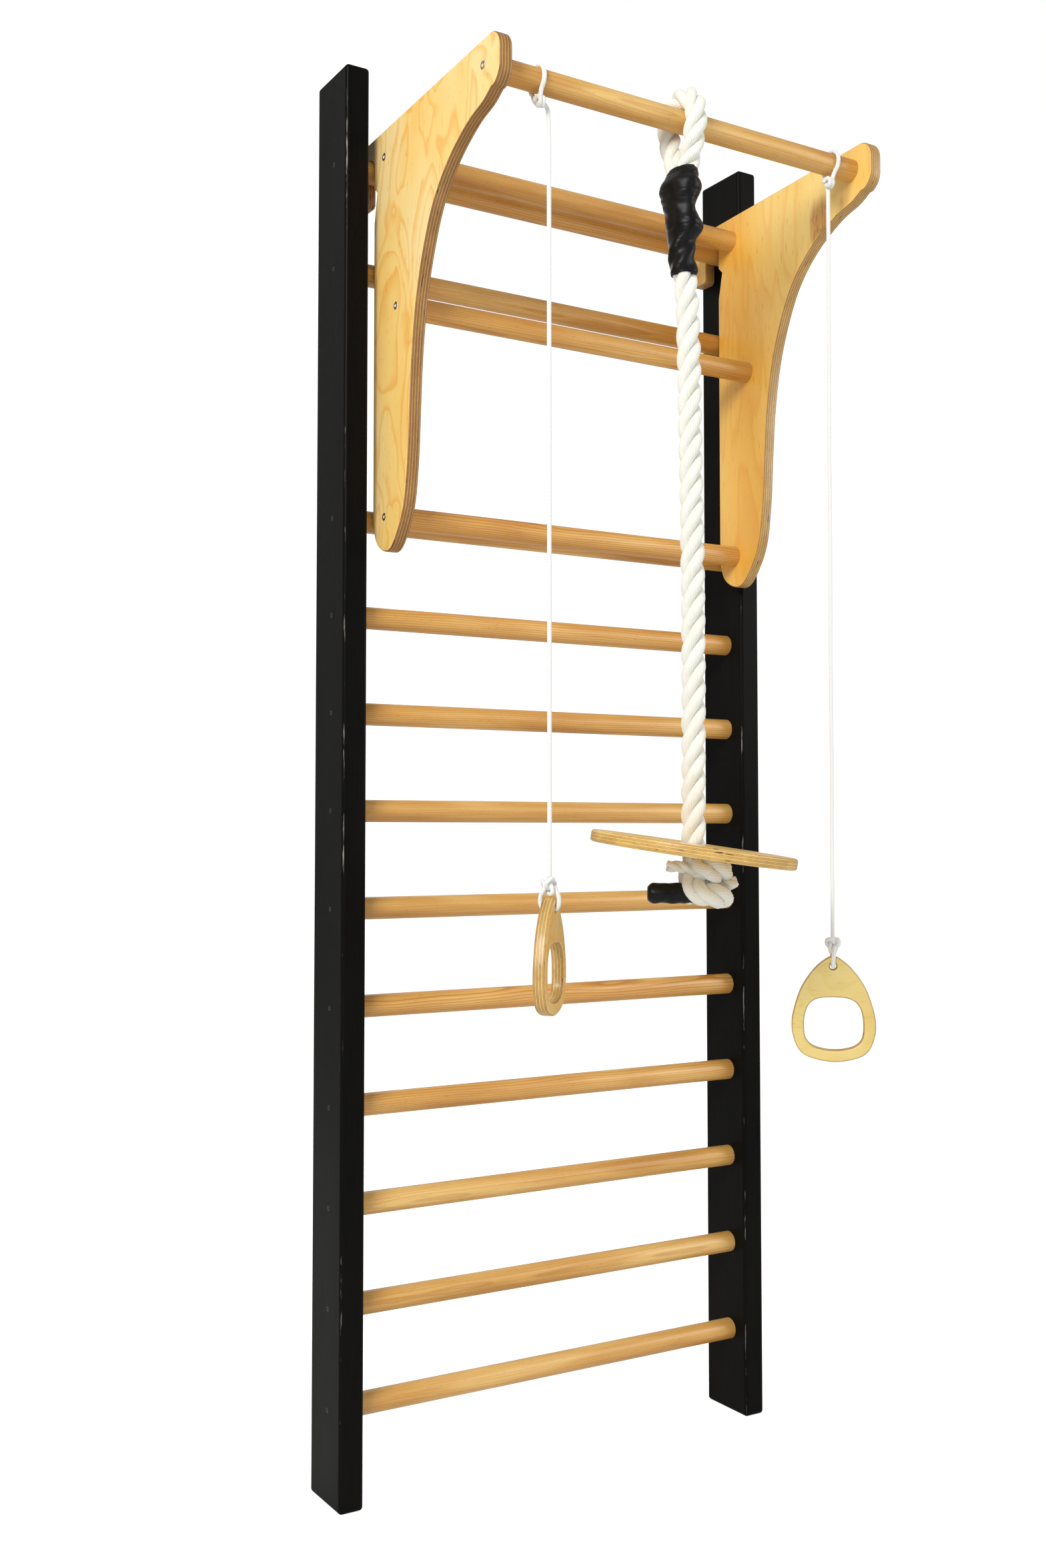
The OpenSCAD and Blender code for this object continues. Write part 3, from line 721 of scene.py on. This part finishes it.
def buildKnot():
    across = Matrix.Rotation(math.radians(knot["heading"]), 4, "Z")
    path = [Vector((0, 0, -0.009)), Vector((-0.001, 0.002, -0.020))]
    for i in range(12, 97):
        t = i / 96
        angle = math.tau * (0.45 + 2.02 * t)
        drop = min(1, max(0, (t - 0.40) / 0.24))
        drop = drop * drop * (3 - 2 * drop)
        z = knot["levels"][0] + (knot["levels"][1] - knot["levels"][0]) * drop
        z -= (knot["lean"][0] + (knot["lean"][1] - knot["lean"][0]) * drop) * math.cos(angle)
        out = knot["middle"] + knot["turn"] * math.cos(angle)
        path.append(Vector((out, knot["turn"] * math.sin(angle), z)))
    path.append(Vector(knot["tuck"]))
    ropePiece("ropeKnot", [seatCentre + across @ p for p in path], "seat", ["rope_knot"], knot["strands"])
    heart = [seatCentre + across @ Vector((knot["middle"], 0, z)) for z in knot["heart"]]
    ropePiece("knotHeart", heart, "seat", [], knot["strands"])
    for i, points in enumerate(knot["ends"]):
        ropePiece(f"strandEnd{i + 1}", [seatCentre + across @ Vector(p) for p in points], "seat", [],
                  knot["endStrands"])


# a skin over rings of points, closed at both ends
def ringSkin(name, rings, material):
    count = len(rings[0])
    points = [p for ring in rings for p in ring]
    faces = []
    for start in range(0, (len(rings) - 1) * count, count):
        for k in range(count):
            after = (k + 1) % count
            faces.append([start + k, start + after, start + count + after, start + count + k])
    faces.append(list(range(count))[::-1])
    faces.append([(len(rings) - 1) * count + k for k in range(count)])
    piece = meshObject(name, points, faces, material)
    fixNormals(piece)
    return piece


def fixNormals(piece):
    work = bmesh.new()
    work.from_mesh(piece.data)
    bmesh.ops.recalc_face_normals(work, faces=work.faces)
    work.to_mesh(piece.data)
    work.free()


sleeve = {
    # from the bar's axis and the rope's place: across, up, half width and half depth
    "levels": [(-15.0, -74.5, 17.8, 28.5), (-15.0, -76.5, 19.4, 31), (-15.5, -83, 21.2, 35),
               (-17.5, -92, 25, 38), (-18.6, -100, 26.6, 39), (-18.6, -113, 24.8, 36),
               (-19.8, -124, 21.6, 31.5), (-19.8, -132, 20.6, 29.5), (-16.5, -144, 22.3, 31),
               (-12.2, -157, 25.3, 33.5), (-11.6, -165, 24.6, 32), (-14.3, -174, 20.6, 26.5),
               (-16.5, -183, 18.8, 22), (-16.5, -195, 18.6, 19.8), (-15.5, -208, 19.2, 19.4),
               (-14.2, -220, 19.7, 19.7), (-13.2, -229, 19.8, 19.8), (-13.0, -233, 19.2, 19.2)],
    "sides": 112,
    "rows": 190,
    "strandRelief": 1.7,
    "lay": 102,
    "slack": 3.2,
}


def buildSleeve():
    levels = smoothPath([(row[0], 0, row[1]) for row in sleeve["levels"]], 0.8)
    halves = smoothPath([(row[2], row[3], row[1]) for row in sleeve["levels"]], 0.8)
    rings = []
    rows = sleeve["rows"]
    for i in range(rows + 1):
        centre = levels[min(len(levels) - 1, round(i / rows * (len(levels) - 1)))]
        half = halves[min(len(halves) - 1, round(i / rows * (len(halves) - 1)))]
        edge = min(1, i / 8, (rows - i) / 5)
        low = min(1, max(0, (-centre.z - 165) / 35))
        ring = []
        for j in range(sleeve["sides"]):
            angle = math.tau * j / sleeve["sides"]
            # the strands press through lower down, with slanting folds; slack wrinkles above
            climb = angle - math.tau * centre.z / sleeve["lay"] - 0.6
            strands = sleeve["strandRelief"] * low * (math.cos(3 * climb) + 0.3)
            x, y = math.cos(angle), math.sin(angle)
            around = Vector((x * 1.1, y * 1.1, centre.z / 26 + 0.5 * y))
            slack = sleeve["slack"] * (1 - 0.8 * low) * (noise.noise(around) - 0.05)
            crease = Vector((x * 0.8, y * 0.8, centre.z / 15 - 0.8 * y))
            fold = 1.2 * (1 - 0.6 * low) * (abs(noise.noise(crease)) * 2 - 0.5)
            dent = -2.6 * math.exp(-((centre.z + 90) / 4.5) ** 2) * max(0, math.sin(-angle + 0.5)) ** 2
            grow = (strands + slack + fold + dent) * edge
            slope = 1.6 * edge * math.cos(angle - 0.6) * (i < rows / 2)
            ring.append((centre.x + (half.x + grow) * x, (half.y + grow) * y, centre.z + slope))
        rings.append(fromBar(swing["x"], ring))
    piece = ringSkin("spliceSleeve", rings, materials["sleeve"])
    register(piece, "rope", "shrink_sleeve", "rope_sleeve")


tailSleeve = {"heading": 149, "drop": 0.064, "start": 1, "length": 67, "radius": 15.2, "wrinkle": 1.6,
              "rounded": 0.86, "rows": 60, "sides": 48}


def buildTailSleeve():
    way = math.radians(tailSleeve["heading"])
    along = Vector((math.cos(way), math.sin(way), 0))
    side = Vector((-along.y, along.x, 0))
    start = seatCentre + Vector((0, 0, -tailSleeve["drop"]))
    rings = []
    for i in range(tailSleeve["rows"] + 1):
        t = i / tailSleeve["rows"]
        reach = tailSleeve["start"] + tailSleeve["length"] * t
        closing = max(0, (t - tailSleeve["rounded"]) / (1 - tailSleeve["rounded"]))
        end = math.sqrt(max(0, 1 - closing ** 2 * 0.6))
        ring = []
        for j in range(tailSleeve["sides"]):
            angle = math.tau * j / tailSleeve["sides"]
            x, y = math.cos(angle), math.sin(angle)
            wrinkle = tailSleeve["wrinkle"] * (noise.noise(Vector((x * 1.3, y * 1.3, reach / 11))) - 0.1)
            radius = (tailSleeve["radius"] + wrinkle) * end
            ring.append(start + (along * reach + side * radius * x + Vector((0, 0, radius * y))) * mm)
        rings.append(ring)
    piece = ringSkin("tailSleeve", rings, materials["sleeve"])
    register(piece, "seat", "shrink_sleeve", "rope_tail_sleeve")


buildKnot()
buildSleeve()
buildTailSleeve()
print("knot and sleeves ready")

# plywood boards: outlines taken from the CAD parts, edges rounded over


# the closed outlines of a board's face, in its own frame: x and y in the face, z through the board
def faceLoops(node, axes, centre):
    back = (Matrix.Translation(centre) @ axes.to_matrix().to_4x4()).inverted()
    work = bmesh.new()
    work.from_mesh(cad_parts[node].data)
    bmesh.ops.transform(work, matrix=back, verts=work.verts)
    bmesh.ops.remove_doubles(work, verts=work.verts, dist=0.00002)
    top = max(v.co.z for v in work.verts)
    flat = {f for f in work.faces if f.normal.z > 0.99 and abs(f.calc_center_median().z - top) < 0.0002}
    rim = {}
    for face in flat:
        for loop in face.loops:
            if not any(other in flat for other in loop.edge.link_faces if other != face):
                rim[loop.vert.index] = (loop.link_loop_next.vert.index, loop.vert.co.xy.copy())
    loops = []
    while rim:
        first = next(iter(rim))
        outline, spot = [], first
        while spot in rim:
            following, place = rim.pop(spot)
            outline.append(place)
            spot = following
        loops.append(outline)
    work.free()
    return sorted(loops, key=lambda q: -max((a - b).length for a in q for b in q[::7])), top


def tidyLoop(outline, gap):
    kept = [outline[0]]
    for point in outline[1:]:
        if (point - kept[-1]).length > gap:
            kept.append(point)
    if (kept[0] - kept[-1]).length < gap:
        kept.pop()
    return kept


# the outline with long straight runs divided, so that a rounded edge stays even
def resampled(outline, step):
    result = []
    for i, a in enumerate(outline):
        b = outline[(i + 1) % len(outline)]
        count = max(1, int((b - a).length / step))
        result += [a.lerp(b, j / count) for j in range(count)]
    return result


# a board with rounded edges over outlines that run anticlockwise outside and clockwise in a hole
def board(name, loops, half, rounding, axes, centre, material, rows=4):
    work = bmesh.new()
    place = Matrix.Translation(centre) @ axes.to_matrix().to_4x4()
    profile = [(rounding * (1 - math.sin(a)), half - rounding * (1 - math.cos(a)))
               for a in [math.pi / 2 * k / rows for k in range(rows + 1)]]
    profile = profile + [(inset, -height) for inset, height in reversed(profile)]
    tops, bottoms = [], []
    for outline in loops:
        count = len(outline)
        inward = []
        for i in range(count):
            ahead = (outline[(i + 1) % count] - outline[i - 1]).normalized()
            inward.append(Vector((-ahead.y, ahead.x)))
        rings = [[work.verts.new(place @ Vector((*(outline[i] + inward[i] * inset), height)))
                  for i in range(count)] for inset, height in profile]
        for upper, lower in zip(rings, rings[1:]):
            for i in range(count):
                face = work.faces.new([upper[i], lower[i], lower[(i + 1) % count], upper[(i + 1) % count]])
                face.smooth = True
        tops.append(rings[0])
        bottoms.append(rings[-1])
    for rings in (tops, bottoms):
        edges = [work.edges.get([a, b]) for ring in rings for a, b in zip(ring, ring[1:] + ring[:1])]
        bmesh.ops.triangle_fill(work, use_beauty=True, use_dissolve=False, edges=edges)
    bmesh.ops.recalc_face_normals(work, faces=work.faces)
    mesh = bpy.data.meshes.new(name)
    work.to_mesh(mesh)
    work.free()
    mesh.materials.append(material)
    return placeInScene(name, mesh)


# the turn of a board's frame: x along the face grain, z through the board
def frameAxes(grain, out):
    x, z = Vector(grain), Vector(out)
    y = z.cross(x)
    return Matrix((x, y, z)).transposed().to_quaternion()


plyColours = {
    "pale": (0.93, 0.70, 0.30), "gold": (0.94, 0.63, 0.19), "deep": (0.92, 0.52, 0.10),
    "line": (0.93, 0.74, 0.46), "lineShown": 0.6, "paintedShadow": None,
    "plyLight": (0.66, 0.40, 0.135, 1), "plyDark": (0.42, 0.21, 0.060, 1),
    "glue": (0.12, 0.060, 0.030), "ply": 0.00233, "stretch": 0.5, "figure": 11.0, "bands": 8.0, "veneer": 0.0,
}

panelLooks = {
    "left": {"line": (0.92, 0.66, 0.36), "lineShown": 0.75, "plyLight": (0.52, 0.29, 0.080, 1),
             "plyDark": (0.31, 0.145, 0.038, 1)},
    "right": {"pale": (0.95, 0.68, 0.22), "gold": (0.93, 0.58, 0.14), "deep": (0.88, 0.48, 0.075),
              "line": (0.92, 0.72, 0.46), "lineShown": 0.5, "stretch": 0.2,
              "plyLight": (0.70, 0.45, 0.14, 1), "plyDark": (0.48, 0.27, 0.075, 1),
              # a painted shadow of the pull-up bar on the right panel's inner face
              "paintedShadow": (0.240, 0.109, 0.050, 0.028)},      # up, across, half length and half width
}


def buildPanel(side, veneer):
    node = side + "_side_panel"
    low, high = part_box(node)
    centre = (low + high) / 2
    out = (-1, 0, 0) if side == "left" else (1, 0, 0)
    axes = frameAxes((0, 0, 1), out)
    loops, top = faceLoops(node, axes, centre)
    outline = resampled(tidyLoop(loops[0], 0.0008), 0.012)
    look = dict(plyColours, axes=axes, centre=centre, half=top, rounding=0.0028, veneer=veneer,
                **panelLooks[side])
    piece = board(side + "SidePanel", [outline], top, 0.0028, axes, centre, plywood(side + "PanelPly", look))
    register(piece, "pull_up_unit", "birch_plywood", node)


def buildSeat():
    axes = (Matrix.Rotation(math.radians(seat["lowSide"]), 3, "Z")
            @ Matrix.Rotation(math.radians(seat["tilt"]), 3, "Y")).to_quaternion()
    rim = [Vector((math.cos(math.tau * k / 160), math.sin(math.tau * k / 160))) * seat["across"] / 2
           for k in range(160)]
    hole = [Vector((math.cos(math.tau * k / 64), -math.sin(math.tau * k / 64))) * seat["hole"] / 2
            for k in range(64)]
    look = dict(plyColours, axes=axes, centre=seatCentre, half=seat["thick"] / 2, rounding=0.0045, veneer=4.0,
                plyLight=(0.88, 0.60, 0.20, 1), plyDark=(0.74, 0.46, 0.125, 1))
    piece = board("seatDisc", [rim, hole], seat["thick"] / 2, 0.0045, axes, seatCentre,
                  plywood("seatPly", look), rows=6)
    register(piece, "seat", "birch_plywood", "seat_disc")


gripLooks = {
    "left": {"plyLight": (0.78, 0.52, 0.17, 1), "plyDark": (0.60, 0.37, 0.115, 1),
             "glue": (0.10, 0.05, 0.02)},
    "right": {"pale": (0.84, 0.68, 0.27), "gold": (0.82, 0.64, 0.23), "deep": (0.76, 0.55, 0.17),
              "line": (0.93, 0.83, 0.64), "lineShown": 0.5, "plyLight": (0.80, 0.60, 0.24, 1),
              "plyDark": (0.64, 0.44, 0.15, 1), "glue": (0.42, 0.26, 0.12)},
}


def buildGrip(side, veneer):
    node = side + "_grip"
    place = gripFrame(side)
    turn = place.to_3x3()
    axes = frameAxes(turn @ Vector((1, 0, 0)), turn @ Vector((0, -1, 0)))
    centre = place.translation
    loops, top = faceLoops(node, axes, centre)
    loops = [resampled(tidyLoop(q, 0.0006), 0.004) for q in loops]
    look = dict(plyColours, axes=axes, centre=centre, half=top, rounding=0.0035, veneer=veneer, ply=0.00225,
                figure=16.0, **gripLooks[side])
    piece = board(side + "Grip", loops, top, 0.0035, axes, centre, plywood(side + "GripPly", look), rows=6)
    register(piece, side + "_grip", "birch_plywood", node)


buildPanel("left", 1.3)
buildPanel("right", 8.1)
buildSeat()
buildGrip("left", 5.5)
buildGrip("right", 6.7)
print("boards ready")

# rungs, bars, posts and screws
dowels = dowelTree()


def pointObject(points, facing=None):
    mesh = bpy.data.meshes.new("points")
    mesh.from_pydata([tuple(p) for p in points], [], [])
    if facing is not None:
        given = mesh.attributes.new("facing", "FLOAT_VECTOR", "POINT")
        given.data.foreach_set("vector", [c for f in facing for c in f])
    return placeInScene("points", mesh)


def buildDowels(name, nodes, body, seed):
    low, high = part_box(nodes[0])
    sizes = {"Radius": (high.z - low.z) / 2, "Length": high.x - low.x, "Sides": 64, "Seed": seed}
    piece = runTree(pointObject([middle(n) for n in nodes]), dowels, name, materials["rungs"], sizes)
    register(piece, body, "lacquered_beech", *nodes)


buildDowels("rungs", [f"rung_{i:02d}" for i in range(1, 13)], "ladder", 3)
buildDowels("unitBars", ["pull_up_bar", "upper_cross_bar", "middle_cross_bar", "lower_cross_bar"],
            "pull_up_unit", 11)


# a square post with its long edges and its top rounded over
def buildPost(side, rounding):
    low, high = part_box(side + "_post")
    work = bmesh.new()
    bmesh.ops.create_cube(work, size=1)
    size = high - low
    for v in work.verts:
        v.co = Vector(((v.co.x + 0.5) * size.x, (v.co.y + 0.5) * size.y, (v.co.z + 0.5) * size.z)) + low
    mesh = bpy.data.meshes.new(side + "Post")
    work.to_mesh(mesh)
    work.free()
    mesh.materials.append(materials["paint"])
    mesh.polygons.foreach_set("use_smooth", [True] * len(mesh.polygons))
    piece = placeInScene(side + "Post", mesh)
    edge = piece.modifiers.new("roundedEdges", "BEVEL")
    edge.width = rounding
    edge.segments = 5
    edge.harden_normals = True
    register(piece, "ladder", "black_satin_paint", side + "_post")


buildPost("left", 0.006)
buildPost("right", 0.006)


# a countersunk head, its face outwards along +Z, with a hexagon socket
def screwHead(radius, recess):
    rings = []
    for reach, height, hexagon in [(radius * 0.7, -radius * 0.45, False), (radius, -radius * 0.06, False),
                                   (radius * 0.96, 0.0, False), (recess * 1.25, radius * 0.02, True),
                                   (recess, -radius * 0.03, True), (recess * 0.93, -radius * 0.42, True)]:
        ring = []
        for k in range(24):
            angle = math.tau * k / 24
            flat = math.cos(math.pi / 6) / math.cos((angle % (math.pi / 3)) - math.pi / 6) if hexagon else 1
            ring.append(Vector((reach * flat * math.cos(angle), reach * flat * math.sin(angle), height)))
        rings.append(ring)
    head = ringSkin("screwHead", rings, None)
    for face in head.data.polygons:
        face.use_smooth = False
    return head


def buildScrews(name, nodes, body, material, slot, radius, recess):
    spots, facing = [], []
    for side, node in zip((-1, 1), nodes):
        low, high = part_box(node)
        face = low.x if side < 0 else high.x
        groups = clusters([v.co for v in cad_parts[node].data.vertices])
        for y, z in groups:
            spots.append((face + side * 0.00025, y, z))
            facing.append((side, 0, 0))
    head = screwHead(radius, recess)
    piece = runTree(pointObject(spots, facing), screwTree(head), name, material, {"Size": 1.0})
    bpy.data.objects.remove(head)
    register(piece, body, slot, *nodes)


# the axes of the screws in one node: one place for each group of points that lie close in y and z
def clusters(points, apart=0.04):
    groups = []
    for p in points:
        for group in groups:
            if abs(group[0][0] - p.y) < apart and abs(group[0][1] - p.z) < apart:
                group.append((p.y, p.z))
                break
        else:
            groups.append([(p.y, p.z)])
    return [tuple((min(q[i] for q in g) + max(q[i] for q in g)) / 2 for i in (0, 1)) for g in groups]


buildScrews("panelScrews", ["left_panel_screws", "right_panel_screws"], "pull_up_unit",
            materials["zinc"], "zinc_screws", 0.00625, 0.0027)
buildScrews("rungScrews", ["left_rung_screws", "right_rung_screws"], "ladder",
            materials["darkScrew"], "black_screws", 0.004, 0.0017)
print("ladder and screws ready")

# floor and light
studio = {"floor": (0.90, 0.90, 0.895), "glow": 0.75, "sky": 1.0, "ambient": 0.44,
          "key": 125, "fill": 48, "back": 16}


def buildStudio():
    material, tree, shader = newMaterial("paleFloor")
    place = objectPlace(tree)
    tone = ramp(tree, noiseAt(tree, place, 3, 2), [(0.3, studio["floor"]), (0.7, (0.91, 0.91, 0.905))])
    feed(tree, shader, {"Base Color": tone, "Roughness": 0.85, "Emission Color": (1, 1, 1, 1)})
    lit = tree.nodes.new("ShaderNodeLightPath").outputs["Is Camera Ray"]
    tree.links.new(times(tree, lit, studio["glow"]), shader.inputs["Emission Strength"])
    # a floor that sweeps up into a backdrop
    rows = [(-9.0, 0.0)] + [(7.0 + 3.0 * math.sin(math.pi / 32 * k), 3.0 - 3.0 * math.cos(math.pi / 32 * k))
                            for k in range(17)] + [(10.0, 9.0)]
    points = [(x, y, z - 0.0005) for y, z in rows for x in (-14, 14)]
    faces = [(2 * i, 2 * i + 1, 2 * i + 3, 2 * i + 2) for i in range(len(rows) - 1)]
    floor = meshObject("floor", points, faces, material)
    world = bpy.data.worlds.new("studioWorld")
    world.use_nodes = True
    sky = world.node_tree
    seen = sky.nodes.new("ShaderNodeLightPath").outputs["Is Camera Ray"]
    levels = {0: seen, 3: studio["ambient"], 4: studio["sky"]}
    strength = addNode(sky, "ShaderNodeMapRange", levels).outputs[0]
    sky.nodes["Background"].inputs[0].default_value = (1.0, 1.0, 1.0, 1)
    sky.links.new(strength, sky.nodes["Background"].inputs[1])
    bpy.context.scene.world = world
    for name, place, aim, size, power in [
            ("keyLight", (-3.2, -2.2, 3.1), (0, -0.2, 1.2), 1.5, studio["key"]),
            ("fillLight", (3.0, -2.6, 2.4), (0, -0.1, 1.1), 2.0, studio["fill"]),
            ("backLight", (0.5, 2.8, 3.0), (0, 0, 1.2), 1.8, studio["back"])]:
        light = bpy.data.lights.new(name, "AREA")
        light.size = size
        light.energy = power
        lamp = placeInScene(name, light)
        lamp.location = place
        lamp.rotation_euler = (Vector(aim) - Vector(place)).to_track_quat("-Z", "Y").to_euler()
    bpy.context.scene.view_settings.view_transform = "Standard"


buildStudio()
print("studio ready")

bpy.context.view_layer.update()
